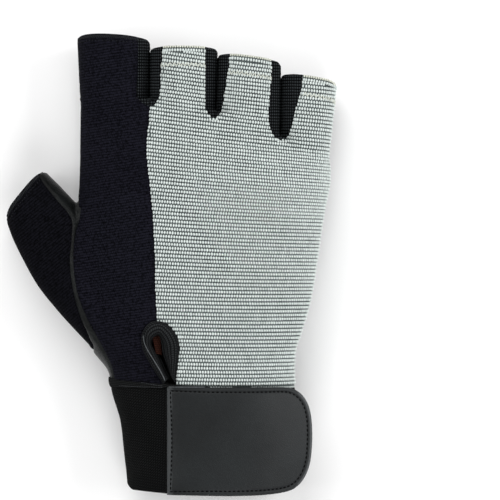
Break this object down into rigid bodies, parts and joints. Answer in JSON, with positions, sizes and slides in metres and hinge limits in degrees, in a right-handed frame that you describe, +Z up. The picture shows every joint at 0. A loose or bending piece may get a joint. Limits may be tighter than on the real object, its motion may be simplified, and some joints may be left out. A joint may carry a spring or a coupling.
{
  "type": "weightlifting glove",
  "caption": "Half-finger lifting glove for the right hand: ribbed stretch back, padded leather palm, knitted finger walls and an elastic wrist band closed by a leather tab.",
  "frame": {"origin": "on the surface that the glove lies on, under the middle of its box", "axes": "+Z up from the palm to the back, +Y from the wrist to the fingertips, -X towards the thumb"},
  "size_m": [0.1294, 0.1802, 0.036],
  "materials": {
    "grey_knit": "light grey ribbed stretch weave, matt",
    "black_cloth": "black stretch cloth with a fine cross rib, matt",
    "black_rib": "black ribbed knit, matt",
    "black_leather": "soft black grain leather, low sheen",
    "padded_leather": "charcoal grain leather over padding, low sheen",
    "knitted_binding": "black knitted binding, matt",
    "elastic": "black woven elastic, matt",
    "tab_leather": "smooth charcoal leather, low sheen"
  },
  "bodies": {
    "root": {"back_panel": "grey_knit", "side_panel": "black_cloth", "thumb_back": "black_cloth", "palm_leather": "black_leather", "palm_pad": "padded_leather", "fourchette_index_middle": "black_rib", "fourchette_middle_ring": "black_rib", "fourchette_ring_little": "black_rib", "vent_binding": "knitted_binding", "wrist_band": "elastic", "closure_tab": "tab_leather"}
  },
  "joints": []
}
